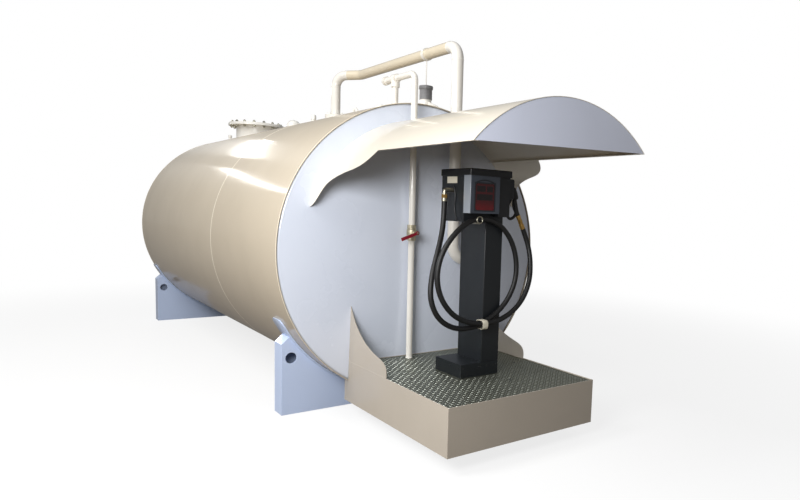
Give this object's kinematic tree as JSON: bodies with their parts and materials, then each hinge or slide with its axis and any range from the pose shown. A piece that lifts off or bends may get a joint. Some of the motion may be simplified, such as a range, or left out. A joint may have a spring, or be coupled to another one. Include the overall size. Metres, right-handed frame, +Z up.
{
  "type": "double-wall horizontal storage tank with dispensing step",
  "caption": "Horizontal double-wall fuel tank on two box saddles, with a canopy over a checker-plate step, a pedestal dispenser with hose and nozzle, and top pipework.",
  "frame": {"origin": "middle of the object's box on the ground under the saddles", "axes": "+X to the right as seen by a person at the dispenser, +Y back along the tank, +Z up"},
  "size_m": [2.26, 6.62, 2.8728],
  "materials": {
    "shell_paint": "high gloss cream enamel",
    "end_paint": "high gloss white enamel",
    "inner_steel": "mill finish steel plate",
    "saddle_paint": "gloss white enamel",
    "fitting_paint": "gloss white enamel",
    "pipe_paint": "gloss cream enamel",
    "cap_brass": "cast brass",
    "gauge_grey": "satin grey",
    "lever_red": "vinyl-dipped red grip",
    "canopy_paint": "gloss cream enamel",
    "step_paint": "semi-gloss cream enamel",
    "tread_metal": "raised tread pattern, bare metal",
    "dispenser_paint": "satin powder coat",
    "cover_plastic": "moulded black",
    "bezel_plastic": "satin blue-grey moulding",
    "window_red": "dark red window",
    "nozzle_black": "dipped black",
    "swivel_brass": "machined brass",
    "fitting_steel": "plated steel",
    "hose_rubber": "ribbed black rubber",
    "clip_plastic": "pale wrap"
  },
  "bodies": {
    "tank": {"outer_shell_front_course": "shell_paint", "outer_shell_rear_course": "shell_paint", "outer_end_front": "end_paint", "outer_end_rear": "end_paint", "inner_shell": "inner_steel", "inner_ends": "inner_steel", "wall_spacers": "inner_steel", "saddle_wear_plates": "saddle_paint", "saddle_front_webs": "saddle_paint", "saddle_front_frame": "saddle_paint", "saddle_rear_webs": "saddle_paint", "saddle_rear_frame": "saddle_paint", "manhole_neck": "fitting_paint", "manhole_cover": "fitting_paint", "emergency_vent": "fitting_paint", "capped_sockets": "fitting_paint", "lifting_lug": "fitting_paint", "gauge_socket": "fitting_paint", "fill_nozzle": "pipe_paint", "fill_riser": "pipe_paint", "fill_run": "pipe_paint", "fill_downcomer": "pipe_paint", "fill_point": "pipe_paint", "suction_stem": "pipe_paint", "suction_downcomer": "pipe_paint", "suction_foot": "pipe_paint", "clamp_and_rod": "pipe_paint", "fill_cap": "cap_brass", "valve_body": "cap_brass", "gauge_head": "gauge_grey", "canopy_sheet": "canopy_paint", "canopy_fascia": "canopy_paint", "canopy_wings": "canopy_paint", "step_skirt_left": "step_paint", "step_skirt_right": "step_paint", "step_skirt_front": "step_paint", "side_wings": "step_paint", "tread_plate": "tread_metal", "dispenser_base": "dispenser_paint", "pedestal": "dispenser_paint", "cabinet_body": "dispenser_paint", "cabinet_cover": "cover_plastic", "nozzle_holster": "cover_plastic", "display_bezel": "bezel_plastic", "display_window": "window_red", "fuel_nozzle": "nozzle_black", "hose_swivel": "swivel_brass", "hose_fitting": "fitting_steel", "hose_ring": "fitting_steel", "hose": "hose_rubber", "hose_clip": "clip_plastic"},
    "valve_lever": {"valve_lever": "lever_red"}
  },
  "joints": [
    {"name": "lever_turn", "type": "hinge", "parent": "tank", "child": "valve_lever", "pos_m": [-0.155, -1.863, 1.373], "axis": [0, -1, 0], "range_deg": [-20, 70]}
  ]
}
